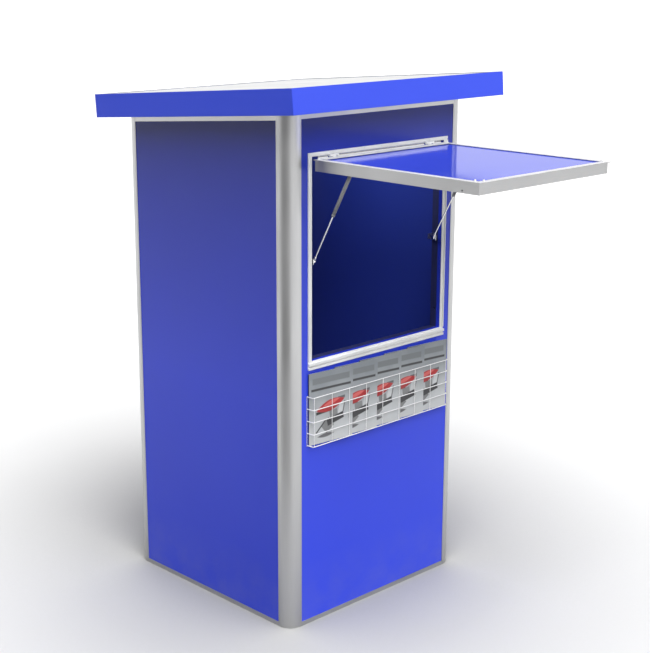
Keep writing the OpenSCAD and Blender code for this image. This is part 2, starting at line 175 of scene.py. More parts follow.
def dusted(look, color, dust, height, most):
    """Settled dust that thins out above the floor."""
    low = look.remap(look.height(), 0.0, height, most, 0.0)
    patchy = look.remap(look.noise(9, 5), 0.35, 0.7, 0.2, 1.0)
    return look.mix(look.math("MULTIPLY", low, patchy), color, dust)


def brushed_aluminium(axis, name="anodised_aluminium", tone=0.49, base_rough=0.35):
    """Satin anodised extrusion with fine drawing lines along one axis."""
    look = Look(f"{name}_{axis}", metallic=1.0)
    lines = look.noise(1.0, 4, along(axis, 1400, 12))
    cloud = look.noise(3.5, 4)
    dark = (tone * 0.93, tone * 0.935, tone * 0.945)
    light = (tone * 1.04, tone * 1.045, tone * 1.05)
    color = look.mix(look.vary(lines, 0, 1), dark, light)
    color = look.mix(look.remap(cloud, 0.35, 0.75, 0, 0.35), color, (tone, tone, tone * 1.02))
    color = dusted(look, color, WARM_DUST, height=0.2, most=0.16)
    streaks = look.vary(lines, -0.03, 0.03)
    smears = look.vary(cloud, base_rough - 0.05, base_rough + 0.09)
    look.bump(lines, 0.00004)
    look.bump(look.noise(60, 2), 0.00005)
    return look.done(color, look.math("ADD", streaks, smears))


def gloss_blue(name, deep, bright, coat, haze, specular, painted_shade_under_eaves=0.0):
    """Gloss blue facing: slight orange peel, faint clouding and fine rubs.

    painted_shade_under_eaves is how far the blue is mixed towards a near-black navy at the top of the wall:
    painted shade under the roof's overhang.
    """
    look = Look(name, coat=coat, coat_rough=0.06, specular=specular)
    cloud = look.noise(0.9, 4)
    color = look.mix(look.remap(cloud, 0.25, 0.75, 0, 1), deep, bright)
    rubs = look.remap(look.noise(1.0, 3, (190, 190, 7)), 0.66, 0.74, 0.0, 1.0)
    worn = look.math("MULTIPLY", rubs, look.remap(look.noise(3, 2), 0.5, 0.7, 0, 0.1))
    color = look.mix(worn, color, [min(0.05 + 1.3 * c, 1) for c in bright])
    # painted shade: the blue darkens towards the top of the wall, under the roof's overhang
    if painted_shade_under_eaves:
        color = look.mix(look.remap(look.height(), *EAVES_PAINTED_SHADE_HEIGHTS, 0.0, painted_shade_under_eaves), color, EAVES_PAINTED_SHADE_COLOUR)
    color = dusted(look, color, BLUE_DUST, height=0.3, most=0.14)
    smudge = look.remap(look.noise(7, 4), 0.3, 0.75, 0.17 + haze, 0.225 + haze)
    look.bump(look.noise(110, 2), 0.00001)
    look.bump(look.noise(2.2, 2), 0.0009, 0.5)
    return look.done(color, smudge)


def powder_coat(name, dark, light, rough=0.36, grain=900):
    """Powder coat: fine pebble and a few soft stains."""
    look = Look(name, specular=0.5)
    stain = look.remap(look.noise(6, 5), 0.4, 0.75, 0, 1)
    color = look.mix(stain, light, dark)
    color = dusted(look, color, GREY_DUST, height=0.25, most=0.12)
    pebble = look.noise(grain, 2)
    look.bump(pebble, 0.00002)
    return look.done(color, look.vary(look.noise(30, 4), rough - 0.07, rough + 0.08))


def plated_steel(name, tone, rough):
    """Zinc plate: pale flecks and a soft, uneven sheen."""
    look = Look(name, metallic=1.0)
    fleck = look.remap(look.cells(260), 0.1, 0.7, 0, 1)
    dark = (tone * 0.84, tone * 0.86, tone * 0.9)
    color = look.mix(fleck, (tone, tone * 1.01, tone * 1.03), dark)
    look.bump(look.noise(700, 3), 0.00003)
    return look.done(color, look.vary(look.noise(90, 4), rough - 0.08, rough + 0.12))


def bright_plate(name, tone, rough):
    """Bright nickel-chrome plate with a faint haze."""
    look = Look(name, metallic=1.0)
    haze = look.noise(40, 5)
    marks = look.remap(haze, 0.35, 0.7, 0, 1)
    color = look.mix(marks, (tone, tone, tone * 1.01), (tone * 0.93,) * 3)
    look.bump(look.noise(500, 2), 0.00002)
    return look.done(color, look.vary(haze, rough - 0.05, rough + 0.09))


def turned_metal(name, tone, warmth=1.0):
    """Polished rod or barrel with fine turning marks round its axis."""
    look = Look(name, metallic=1.0)
    rings = look.noise(1.0, 3, (120, 1600, 1600))
    light = (tone, tone * (0.5 + 0.5 * warmth), tone * warmth)
    dark = tuple(c * 0.9 for c in light)
    color = look.mix(look.vary(rings, 0, 1), light, dark)
    look.bump(rings, 0.00002)
    return look.done(color, look.vary(look.noise(80, 3), 0.1, 0.22))


def painted_timber():
    """Dark blue-black paint over open grain, running along the battens."""
    look = Look("dark_timber")
    grain = look.noise(1.0, 6, (160, 160, 9), 0.6)
    color = look.mix(look.vary(grain, 0, 1), (0.019, 0.023, 0.09), (0.036, 0.042, 0.16))
    look.bump(grain, 0.0003)
    return look.done(color, look.vary(look.noise(25, 3), 0.38, 0.55))


def floor_vinyl():
    """Speckled grey-brown safety flooring."""
    look = Look("floor_board")
    speck = look.remap(look.cells(420), 0.12, 0.3, 1, 0)
    patch = look.remap(look.noise(4, 5), 0.35, 0.7, 0, 1)
    color = look.mix(patch, (0.15, 0.14, 0.13), (0.21, 0.195, 0.18))
    color = look.mix(speck, color, (0.42, 0.41, 0.4))
    look.bump(look.noise(800, 3), 0.0002)
    return look.done(color, look.vary(look.noise(12, 4), 0.45, 0.7))


def roof_skin():
    """White roof sheet: faint chalking and water marks down the fall."""
    look = Look("roof_white", specular=0.4)
    marks = look.remap(look.noise(1.0, 5, (26, 2, 2)), 0.42, 0.72, 0, 1)
    color = look.mix(marks, (0.84, 0.845, 0.85), (0.66, 0.67, 0.67))
    look.bump(look.noise(300, 2), 0.00005)
    return look.done(color, look.vary(look.noise(7, 4), 0.35, 0.55))


def soft_white(name):
    """Matt white board with a fine stipple."""
    look = Look(name, specular=0.3)
    stain = look.remap(look.noise(3, 5), 0.35, 0.7, 0, 1)
    color = look.mix(stain, (0.82, 0.82, 0.83), (0.74, 0.74, 0.76))
    look.bump(look.noise(520, 2), 0.0001)
    return look.done(color, look.vary(look.noise(40, 3), 0.5, 0.66))


def black_rubber():
    """Door gasket: matt, slightly bloomed rubber."""
    look = Look("gasket_rubber", specular=0.3)
    bloom = look.remap(look.noise(70, 4), 0.45, 0.75, 0, 1)
    color = look.mix(bloom, (0.012, 0.012, 0.013), (0.04, 0.04, 0.042))
    look.bump(look.noise(900, 2), 0.0001)
    return look.done(color, look.vary(look.noise(60, 3), 0.55, 0.75))


def page_edges():
    """The cut edges of a block of pages: fine lines of paper."""
    look = Look("page_edges", specular=0.2)
    sheets = look.noise(1.0, 2, (2, 9000, 2))
    color = look.mix(look.remap(sheets, 0.35, 0.65, 0, 1), (0.84, 0.83, 0.8), (0.6, 0.59, 0.56))
    look.bump(sheets, 0.0001)
    return look.done(color, look.vary(look.noise(200, 2), 0.6, 0.8))


INK_EDGE = 0.008


class Cover(Look):
    """A printed cover: plain generic shapes laid out on the sheet's own UVs, 0 to 1 each way."""

    def __init__(self, name):
        super().__init__(name, coat=0.15, coat_rough=0.2)
        split = self.tree.nodes.new("ShaderNodeSeparateXYZ")
        self.link(self.coords.outputs["UV"], split.inputs["Vector"])
        self.u, self.v = split.outputs["X"], split.outputs["Y"]

    def turned(self, centre, angle):
        """Coordinates about a centre, turned by an angle in degrees."""
        c, s = math.cos(math.radians(angle)), math.sin(math.radians(angle))
        du = self.math("SUBTRACT", self.u, centre[0])
        dv = self.math("MULTIPLY", self.math("SUBTRACT", self.v, centre[1]), 1.3)
        x = self.math("ADD", self.math("MULTIPLY", du, c), self.math("MULTIPLY", dv, s))
        y = self.math("SUBTRACT", self.math("MULTIPLY", dv, c), self.math("MULTIPLY", du, s))
        return x, y

    def inside(self, distance):
        return self.remap(distance, -INK_EDGE, INK_EDGE, 1.0, 0.0)

    def bar(self, centre, half, angle=0):
        """1 inside a bar, 0 outside."""
        x, y = self.turned(centre, angle)
        dx = self.math("SUBTRACT", self.math("ABSOLUTE", x), half[0])
        dy = self.math("SUBTRACT", self.math("ABSOLUTE", y), half[1])
        return self.inside(self.math("MAXIMUM", dx, dy))

    def wedge(self, centre, half, angle=0):
        """1 inside a leaf shape with two pointed ends."""
        x, y = self.turned(centre, angle)
        bow = self.math("MULTIPLY", self.math("MULTIPLY", x, x), half[1] / half[0] ** 2)
        edge = self.math("SUBTRACT", half[1], bow)
        return self.inside(self.math("SUBTRACT", self.math("ABSOLUTE", y), edge))


def magazine_cover():
    """Grey cover with a band at its head, a red leaf, a dark slab and a pale column."""
    look = Cover("magazine_paper")
    fade = look.remap(look.v, 0.1, 0.95, 0.0, 1.0)
    grain = look.remap(look.noise(8, 4), 0.35, 0.7, -0.12, 0.12)
    color = look.mix(look.math("ADD", fade, grain), (0.56, 0.58, 0.6), (0.21, 0.235, 0.26))
    shapes = (
        (look.bar((0.5, 0.88), (0.42, 0.055)), (0.17, 0.185, 0.2)),
        (look.bar((0.5, 0.762), (0.45, 0.021)), (0.025, 0.025, 0.03)),
        (look.bar((0.42, 0.23), (0.11, 0.1), 38), (0.2, 0.205, 0.21)),
        (look.bar((0.27, 0.235), (0.15, 0.013), 44), (0.02, 0.02, 0.024)),
        (look.bar((0.73, 0.42), (0.055, 0.13), -12), (0.6, 0.62, 0.64)),
        (look.bar((0.79, 0.42), (0.012, 0.14), -12), (0.12, 0.12, 0.13)),
        (look.bar((0.56, 0.38), (0.09, 0.07), 8), (0.22, 0.225, 0.23)),
        (look.bar((0.6, 0.3), (0.19, 0.06), 14), (0.025, 0.025, 0.03)),
        (look.bar((0.35, 0.437), (0.19, 0.026), 5), (0.01, 0.01, 0.012)),
        (look.bar((0.74, 0.585), (0.08, 0.024), 4), (0.1, 0.1, 0.11)),
        (look.wedge((0.49, 0.51), (0.33, 0.1), 12), (0.42, 0.016, 0.02)),
        (look.wedge((0.51, 0.545), (0.2, 0.035), 14), (0.66, 0.13, 0.12)),
        (look.wedge((0.38, 0.1), (0.19, 0.035), 3), (0.13, 0.13, 0.14)),
    )
    for mask, ink in shapes:
        color = look.mix(mask, color, ink)
    look.bump(look.noise(14, 2), 0.0008, 0.6)
    return look.done(color, look.vary(look.noise(50, 3), 0.28, 0.4))


ALUMINIUM = {axis: brushed_aluminium(axis) for axis in "xyz"}
# the wall blue carries painted shade under the eaves
PANEL_BLUE = gloss_blue(
    "blue_panel", (0.034, 0.066, 0.76), (0.038, 0.074, 0.82),
    coat=0.04, haze=0.04, specular=0.28, painted_shade_under_eaves=0.56,
)
# painted light: a lighter, glossier copy of the panel blue, so the flap's top reads as sunlit
FLAP_BLUE_PAINTED_LIGHTER = gloss_blue("flap_blue_painted_lighter", (0.05, 0.09, 0.86), (0.055, 0.1, 0.9), coat=0.03, haze=-0.1, specular=0.3)
FASCIA_BLUE = gloss_blue(
    "blue_fascia", (0.045, 0.09, 0.84), (0.05, 0.1, 0.9), coat=0.0, haze=0.25, specular=0.3
)
LINING = gloss_blue(
    "blue_lining", (0.028, 0.055, 0.38), (0.034, 0.062, 0.44), coat=0.04, haze=0.12, specular=0.3
)
FLAP_ALUMINIUM = {axis: brushed_aluminium(axis, "flap_aluminium", tone=0.43) for axis in "xy"}
ROOF_TRIM = powder_coat("roof_trim", (0.3, 0.3, 0.32), (0.36, 0.36, 0.38), rough=0.42)
# painted highlight: a pale finish for the flap rails' upward faces
EDGE_PAINTED_HIGHLIGHT = powder_coat("edge_painted_highlight", (0.72, 0.72, 0.73), (0.86, 0.86, 0.87), rough=0.4)
STRUT_GREY = powder_coat("strut_grey", (0.27, 0.275, 0.28), (0.36, 0.365, 0.375), rough=0.28, grain=500)
BAR_WIRE = powder_coat("bar_wire", (0.84, 0.84, 0.86), (0.9, 0.9, 0.92), rough=0.4)
# painted shade: near-black for the magazines' spines, standing in for the dark gap at the row's left end
SPINE_PAINTED_SHADE = powder_coat("spine_painted_shade", (0.016, 0.017, 0.02), (0.03, 0.03, 0.034), rough=0.42, grain=300)
RUBBER = black_rubber()
SEAL_VINYL = soft_white("seal_vinyl")
PAGES = page_edges()
MATERIALS = {
    "blue_panel": PANEL_BLUE,
    "blue_fascia": FASCIA_BLUE,
    "white_frame": powder_coat("white_frame", (0.7, 0.71, 0.72), (0.86, 0.865, 0.875)),
    "dark_timber": painted_timber(),
    "steel": plated_steel("zinc_steel", tone=0.72, rough=0.26),
    "chrome_wire": bright_plate("chrome_wire", tone=0.9, rough=0.16),
    "roof_white": roof_skin(),
    "rafter_aluminium": brushed_aluminium("x", "rafter_aluminium", tone=0.62, base_rough=0.42),
    "ceiling_white": soft_white("ceiling_white"),
    "floor_board": floor_vinyl(),
    "strut_grey": STRUT_GREY,
    "chrome_rod": turned_metal("chrome_rod", tone=0.86),
    "brass_lock": turned_metal("brass_lock", tone=0.74, warmth=0.5),
    "pull_metal": brushed_aluminium("z", "pull_metal", tone=0.68, base_rough=0.18),
    "magazine_paper": magazine_cover(),
}

# -------- mesh helpers

CURVE_ANGLE, SHARP_ANGLE = 0.01, math.radians(40)
FLAT_ANGLE = math.radians(0.5)
WELD = 1e-5  # vertices closer than this are one
LOOKS_THAT_WAY = 0.7  # least cosine between a face's normal and a direction
TIP_LENGTH = 0.5  # how far a tube's rounded ends stand out, in radii


def linked(name, data):
    """A new object in the scene."""
    made = bpy.data.objects.new(name, data)
    bpy.context.scene.collection.objects.link(made)
    return made


def mesh_of(name, bm):
    """A mesh from a bmesh, which is used up."""
    mesh = bpy.data.meshes.new(name)
    bm.to_mesh(mesh)
    bm.free()
    return mesh


def finished(name, bm, materials, body, smooth=None, replaces=()):
    """Turns a bmesh into a piece that rides on a body. smooth is the sharpest angle shaded round."""
    bmesh.ops.recalc_face_normals(bm, faces=bm.faces)
    mesh = mesh_of(name, bm)
    if smooth is not None:
        mesh.shade_smooth()
        mesh.set_sharp_from_angle(angle=math.radians(smooth))
    piece = linked(name, mesh)
    for material in materials if isinstance(materials, (list, tuple)) else [materials]:
        mesh.materials.append(material)
    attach(piece, body)
    if replaces:
        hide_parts(*replaces)
    return piece


def longest_axis_of(box):
    size = box[1] - box[0]
    return "xyz"[max(range(3), key=lambda i: size[i])]


def look_of(node):
    """The material of a CAD node's slot, drawn along the node where it is an extrusion."""
    slot = NODE_SLOT[node]
    if node == "flap_panel":
        # the flap panel takes the lighter blue, painted light for its sunlit top
        return FLAP_BLUE_PAINTED_LIGHTER
    if node.startswith("flap") and node.endswith("_rail"):
        return FLAP_ALUMINIUM[longest_axis_of(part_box(node))]
    return ALUMINIUM[longest_axis_of(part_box(node))] if slot == "anodised_aluminium" else MATERIALS[slot]


def remade(name, bm, node, material=None, smooth=35):
    """A piece that stands in for a CAD node, on its body, in the material of its slot unless another is given."""
    look, body, slot = material or look_of(node), NODE_BODY[node], NODE_SLOT[node]
    return finished(name, bm, look, body, smooth, [node])


def round_edges(bm, width, segments=2):
    """Bevels the sharp edges and shades only the bevels and the curved faces smooth."""
    for face in bm.faces:
        face.smooth = any(
            len(e.link_faces) == 2 and CURVE_ANGLE < e.calc_face_angle(0) < SHARP_ANGLE for e in face.edges
        )
    edges = [e for e in bm.edges if len(e.link_faces) == 2 and e.calc_face_angle(0) > SHARP_ANGLE]
    made = bmesh.ops.bevel(
        bm, geom=edges, offset=width, segments=segments, profile=0.5, affect="EDGES", clamp_overlap=True
    )
    for face in made["faces"]:
        face.smooth = True


def refined(node, width):
    """The CAD node with its triangles merged and its edges rounded as the real part's are."""
    bm = bmesh.new()
    bm.from_mesh(frame["nodes"][node].data)
    bmesh.ops.remove_doubles(bm, verts=bm.verts, dist=WELD)
    bmesh.ops.dissolve_limit(bm, angle_limit=FLAT_ANGLE, verts=bm.verts, edges=bm.edges)
    round_edges(bm, width)
    return remade(f"{node}_body", bm, node, smooth=None)


def add_block(bm, low, high):
    """Adds a box between two corners."""
    low, high = Vector(low), Vector(high)
    matrix = Matrix.Translation((low + high) / 2) @ Matrix.Diagonal((*(high - low), 1))
    return bmesh.ops.create_cube(bm, size=1, matrix=matrix)["verts"]


def frame_at(origin, direction):
    """Matrix with its Z along a direction, at an origin."""
    z = Vector(direction).normalized()
    x = z.orthogonal().normalized()
    m = Matrix((x, z.cross(x), z)).transposed().to_4x4()
    m.translation = Vector(origin)
    return m


def circle(steps):
    """Cosine and sine of evenly spaced angles, once round."""
    turn = [2 * math.pi * i / steps for i in range(steps)]
    return [(math.cos(a), math.sin(a)) for a in turn]


def add_lathe(bm, profile, matrix=Matrix(), steps=32):
    """Turns (radius, height) points about Z. The two ends close where their radius is 0."""
    rings = []
    for r, h in profile:
        turn = circle(steps) if r > 0 else [(0, 0)]
        rings.append([bm.verts.new(matrix @ Vector((r * c, r * s, h))) for c, s in turn])
    for one, two in zip(rings, rings[1:]):
        for i in range(steps):
            j = (i + 1) % steps
            face = [one[i % len(one)], one[j % len(one)], two[j % len(two)], two[i % len(two)]]
            bm.faces.new(list(dict.fromkeys(face)))
    for ring in (rings[0], rings[-1]):
        if len(ring) > 1:
            bm.faces.new(ring)


def add_tube(bm, points, radius, steps=10):
    """Sweeps a circle along points, with round ends."""
    points = [Vector(p) for p in points]
    first = (points[1] - points[0]).normalized()
    side = first.orthogonal().normalized()
    rings = []
    for i, p in enumerate(points):
        before = points[max(i - 1, 0)]
        after = points[min(i + 1, len(points) - 1)]
        ahead = (after - before).normalized()
        side = (side - side.dot(ahead) * ahead).normalized()
        up = ahead.cross(side)
        rings.append([bm.verts.new(p + radius * (c * side + s * up)) for c, s in circle(steps)])
    for one, two in zip(rings, rings[1:]):
        for k in range(steps):
            m = (k + 1) % steps
            bm.faces.new([one[k], one[m], two[m], two[k]])
    last = (points[-1] - points[-2]).normalized()
    tips = (points[0] - first * radius * TIP_LENGTH, points[-1] + last * radius * TIP_LENGTH)
    for ring, tip in zip((rings[0], rings[-1]), tips):
        centre = bm.verts.new(tip)
        for k in range(steps):
            bm.faces.new([ring[k], ring[(k + 1) % steps], centre])


def arc(centre, radius, start, end, steps, plane):
    """Points on an arc. plane gives the two unit vectors that its angles turn between."""
    turn = [math.radians(start + (end - start) * i / steps) for i in range(steps + 1)]
    return [
        Vector(centre) + radius * (math.cos(t) * plane[0] + math.sin(t) * plane[1]) for t in turn
    ]


def prism(bm, outline, bottom, top):
    """Closed extrusion of an (x, y) outline between two heights; top may be a function of (x, y)."""
    low = [bm.verts.new((x, y, bottom)) for x, y in outline]
    high = [bm.verts.new((x, y, top(x, y) if callable(top) else top)) for x, y in outline]
    bm.faces.new(low)
    bm.faces.new(high)
    for i in range(len(outline)):
        j = (i + 1) % len(outline)
        bm.faces.new([low[i], low[j], high[j], high[i]])


def span(node, origin, direction):
    """Lowest and highest distance of a CAD node's points along a direction from an origin."""
    d = Vector(direction).normalized()
    reach = [(v.co - Vector(origin)).dot(d) for v in frame["nodes"][node].data.vertices]
    return min(reach), max(reach)


def islands(node):
    """Boxes (low, high) of the separate solids in a CAD node, in order of x, then z, then y."""
    bm = bmesh.new()
    bm.from_mesh(frame["nodes"][node].data)
    bmesh.ops.remove_doubles(bm, verts=bm.verts, dist=WELD)
    left, found = set(bm.verts), []
    while left:
        group, todo = set(), [left.pop()]
        while todo:
            v = todo.pop()
            group.add(v)
            for e in v.link_edges:
                other = e.other_vert(v)
                if other in left:
                    left.discard(other)
                    todo.append(other)
        found.append(tuple(Vector([end(v.co[i] for v in group) for i in range(3)]) for end in (min, max)))
    bm.free()
    return sorted(found, key=lambda box: [round(box[0][i], 4) for i in (0, 2, 1)])


def faced(node, material, *ways):
    """Gives the faces of a refined node that look certain ways another material."""
    mesh = bpy.data.objects[f"{node}_body"].data
    mesh.materials.append(material)
    for face in mesh.polygons:
        if any(face.normal.dot(way) > LOOKS_THAT_WAY for way in ways):
            face.material_index = 1


def mm(*points):
    """(radius, height) points given in millimetres."""
    return [(r * MM, h * MM) for r, h in points]


def short_of(end, *points):
    """(radius, distance short of an end) points given in millimetres."""
    return [(r * MM, end - h * MM) for r, h in points]


# -------- fasteners

SCREW_STEPS = 20
SCREW_HEAD = [(0, -0.05), (1, -0.05), (1, 0.12), (0.93, 0.3), (0.74, 0.44), (0.42, 0.52), (0, 0.55)]
SCREW_RECESS = ((-0.56, -0.1, 0.24), (0.56, 0.1, 0.9))


def screw_mesh():
    """Pan head of radius 1 with a cross recess, its seat at z 0."""
    head, cutter = bmesh.new(), bmesh.new()
    add_lathe(head, SCREW_HEAD, steps=SCREW_STEPS)
    for angle in (0, 90):
        verts = add_block(cutter, *SCREW_RECESS)
        turn = Matrix.Rotation(math.radians(angle), 3, "Z")
        bmesh.ops.rotate(cutter, verts=verts, cent=(0, 0, 0), matrix=turn)
    objects = []
    for name, bm in (("screw_head_source", head), ("screw_recess_source", cutter)):
        bmesh.ops.recalc_face_normals(bm, faces=bm.faces)
        objects.append(linked(name, mesh_of(name, bm)))
    cut = objects[0].modifiers.new("recess", "BOOLEAN")
    cut.object, cut.solver, cut.use_self = objects[1], "EXACT", True
    evaluated = objects[0].evaluated_get(bpy.context.evaluated_depsgraph_get())
    result = bpy.data.meshes.new_from_object(evaluated)
    for o in objects:
        bpy.data.objects.remove(o)
    return result


SCREW = screw_mesh()


def screws(name, places, radius, body, slot="steel", rise=1.0):
    """One piece with a screw head at each (point, outward direction), each turned differently."""
    bm = bmesh.new()
    draw = random.Random(name)
    for point, direction in places:
        turn = Matrix.Rotation(draw.uniform(0, math.pi), 4, "Z")
        size = Matrix.Diagonal((radius, radius, radius * rise, 1))
        one = SCREW.copy()
        one.transform(frame_at(point, direction) @ turn @ size)
        bm.from_mesh(one)
        bpy.data.meshes.remove(one)
    return finished(name, bm, MATERIALS[slot], body, smooth=35)


# -------- booth frame

POST_STEPS = 28


def roof_plane():
    """Height of the roof's underside at the front wall's face, and its slope along y."""
    front_low, front_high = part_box("front_left_post")
    rear_low, rear_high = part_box("rear_left_post")
    slope = (rear_high.z - front_high.z) / (rear_low.y - front_low.y)
    return front_high.z, front_low.y, slope


ROOF_Z, FRONT_Y, ROOF_SLOPE = roof_plane()


def under_roof(_x, y):
    return ROOF_Z + (y - FRONT_Y) * ROOF_SLOPE


def post_outline(radius, lip, lip_t, wall, flange):
    """Quarter-round post, corner at (0, 0): outer arc, two grooved lips and the inner flanges."""
    groove, near, far = 0.7 * MM, radius + 0.8 * MM, radius + 1.8 * MM
    web = radius + 20 * MM

    def ring(r, start, end):
        turn = [math.radians(start + (end - start) * i / POST_STEPS) for i in range(POST_STEPS + 1)]
        return [(radius + r * math.cos(t), radius + r * math.sin(t)) for t in turn]

    def lip_side(swap):
        side = [(near, 0), (near, groove), (far, groove), (far, 0)]
        side += [(radius + lip, 0), (radius + lip, lip_t), (radius, lip_t), (radius, flange)]
        side += [(web, flange), (web, flange + wall), (radius - 2 * MM, flange + wall)]
        return [(y, x) for x, y in reversed(side)] if swap else side

    outer = ring(radius, 180, 270)
    inner = [p for p in ring(radius - wall, 270, 180) if p[0] > flange + wall and p[1] > flange + wall]
    return outer + lip_side(False) + inner + lip_side(True)


def corner_posts():
    """The four rounded posts, each cut off under the roof."""
    low, _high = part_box("front_left_post")
    _low, panel_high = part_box("left_wall_panel")
    radius, lip, lip_t, wall = 64 * MM, 7 * MM, 2 * MM, 3 * MM
    flange = panel_high.x - low.x
    outline = post_outline(radius, lip, lip_t, wall, flange)
    half_x, half_y = -low.x, -low.y
    order = ("front_left", "front_right", "rear_right", "rear_left")
    for node, turn in ((f"{order[k]}_post", 90 * k) for k in range(4)):
        spin = Matrix.Rotation(math.radians(turn), 2)
        placed = [tuple(spin @ Vector((x - half_x, y - half_y))) for x, y in outline]
        bm = bmesh.new()
        prism(bm, placed, 0.0, under_roof)
        remade(f"{node}_extrusion", bm, node, smooth=30)


def plain_parts():
    """CAD nodes whose shape is right: the same solids with rounded edges."""
    widths = {
        1.2: "roof_front_fascia roof_rear_fascia roof_left_fascia roof_right_fascia",
        1.0: """
            door_frame_jambs door_frame_head door_threshold door_leaf_frame window_sill flap_bolt_housings
            strut_wall_brackets strut_flap_brackets window_subframe floor_panel ceiling_panel
            rear_transom_panel""",
        0.7: """
            window_left_jamb window_right_jamb window_head flap_left_rail flap_right_rail flap_outer_rail
            flap_hinge_rail flap_panel flap_hinge_wall_leaf flap_hinge_flap_leaf door_panel
            door_hinge_frame_leaves door_hinge_leaf_leaves door_deadbolt flap_left_bolt flap_right_bolt""",
        0.5: """
            front_bottom_rail left_bottom_rail right_bottom_rail front_top_rail left_top_rail
            right_top_rail rear_top_rail left_wall_panel right_wall_panel front_wall_panel roof_sheet
            roof_rafters""",
    }
    for width, nodes in widths.items():
        for node in nodes.split():
            refined(node, width * MM)


def second_finishes():
    """Faces with another finish: linings inside, a pale painted highlight on the flap rails' upward faces, and the
    roof's trim.
    """
    inward = {"front": Y_AXIS, "rear": -Y_AXIS, "left": X_AXIS, "right": -X_AXIS}
    for side in ("left", "right", "front"):
        faced(f"{side}_wall_panel", LINING, inward[side])
    for node in ("rear_transom_panel", "door_panel"):
        faced(node, LINING, inward["rear"])
    # painted highlight on the flap rails' upward faces
    for side in ("left", "right", "outer", "hinge"):
        faced(f"flap_{side}_rail", EDGE_PAINTED_HIGHLIGHT, Z_AXIS)
    for side, way in inward.items():
        faced(f"roof_{side}_fascia", ROOF_TRIM, Z_AXIS, way)


corner_posts()
plain_parts()
second_finishes()
bpy.data.objects["flap_panel_body"].visible_diffuse = False

# -------- magazine rack


def rack_wires():
    """Front bars bent back to the wall, and the uprights that turn under to make the shelf."""
    low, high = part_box("rack_bars")
    bar_r, wire_r, bend, shelf_bend = 2 * MM, 1.5 * MM, 8 * MM, 4 * MM
    x, front, wall = high.x - bar_r, low.y + bar_r, high.y
    heights = [low.z + bar_r + i * (high.z - low.z - 2 * bar_r) / 4 for i in range(5)]
    bm = bmesh.new()
    for z in heights:
        left = arc((-x + bend, front + bend, z), bend, 180, 270, 8, XY)
        right = arc((x - bend, front + bend, z), bend, 270, 360, 8, XY)
        add_tube(bm, [(-x, wall, z), *left, *right, (x, wall, z)], bar_r, steps=12)
    remade("rack_bar_wires", bm, "rack_bars", BAR_WIRE, smooth=50)

    bm = bmesh.new()
    _low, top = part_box("rack_uprights")
    first = x - bend - 2 * MM
    y, z, b = front + bar_r + wire_r, heights[0] - bar_r - wire_r, shelf_bend
    weld = mm((0, -1.6), (1.7, 0), (0, 1.6))
    for i in range(9):
        wx = -first + i * first / 4
        turn = arc((wx, y + b, z + b), b, 180, 270, 6, YZ)
        add_tube(bm, [(wx, y, top.z - 2 * MM), *turn, (wx, wall, z)], wire_r)
        for h in heights:
            add_lathe(bm, weld, frame_at((wx, y - wire_r, h), Y_AXIS), steps=8)
    for side in (-1, 1):
        ends = [(side * (x + bar_r + wire_r), wall - wire_r, h) for h in (heights[0] - 4 * MM, top.z - MM)]
        add_tube(bm, ends, wire_r)
    remade("rack_upright_wires", bm, "rack_uprights", smooth=50)


MAG_SIZE = Vector((0.236, 0.004, 0.312))
MAG_TURN = math.radians(-5.2)
MAG_GRID = (16, 20)
MAG_CURL = (0.004, 0.012)
MAG_SEED = 5
SKIN, TRIM = 0.35 * MM, 1.2 * MM  # the cover's thickness, and how far the pages stop short of it


def magazine(index, centre, curl):
    """Cover wrapped round a block of pages, its free corner lifting a little."""
    w, t, h = MAG_SIZE
    nx, nz = MAG_GRID
    bm = bmesh.new()
    uv = bm.loops.layers.uv.new("UVMap")

    def lean(u, v):
        return -curl * max(0.0, u - 0.45) ** 2 * (0.35 + v * v)

    def sheet(y, inset, material, flip):
        grid = []
        for k in range(nz + 1):
            v = k / nz
            row = []
            for i in range(nx + 1):
                u = i / nx
                x = (u - 0.5) * (w - 2 * inset)
                z = (v - 0.5) * (h - 2 * inset)
                row.append((bm.verts.new((x, y + lean(u, v), z)), (u, v)))
            grid.append(row)
        for k in range(nz):
            for i in range(nx):
                corners = [grid[k][i], grid[k][i + 1], grid[k + 1][i + 1], grid[k + 1][i]]
                if flip:
                    corners.reverse()
                face = bm.faces.new([c[0] for c in corners])
                face.material_index = material
                for loop, (_v, place) in zip(face.loops, corners):
                    loop[uv].uv = place
        return [[c[0] for c in row] for row in grid]

    def rim(grid):
        """The edge of a sheet, once round."""
        right = [grid[k][nx] for k in range(1, nz + 1)]
        head = [grid[nz][i] for i in range(nx - 1, -1, -1)]
        return grid[0] + right + head + [grid[k][0] for k in range(nz - 1, 0, -1)]

    def walls(front, back, material):
        edge, rear = rim(front), rim(back)
        for i in range(len(edge)):
            j = (i + 1) % len(edge)
            bm.faces.new([edge[i], rear[i], rear[j], edge[j]]).material_index = material

    for outer, inner in ((-t / 2, -t / 2 + SKIN), (t / 2, t / 2 - SKIN)):
        flip = outer > 0
        walls(sheet(outer, 0, 0, flip), sheet(inner, 0, 0, not flip), 0)
    pages = t / 2 - 1.2 * SKIN
    walls(sheet(-pages, TRIM, 1, False), sheet(pages, TRIM, 1, True), 1)
    # the spine is near-black, painted shade for the dark gap at the row's end
    spine = arc((-w / 2, 0, 0), t / 2, 90, 270, 8, XY)
    sheets = len(bm.faces)
    prism(bm, [(p.x, p.y) for p in spine], -h / 2, h / 2)
    for face in list(bm.faces)[sheets:]:
        face.material_index = 2
    bm.transform(Matrix.Translation(centre) @ Matrix.Rotation(MAG_TURN, 4, "Z"))
    remade(f"magazine_{index}", bm, "magazines", [look_of("magazines"), PAGES, SPINE_PAINTED_SHADE], 30)


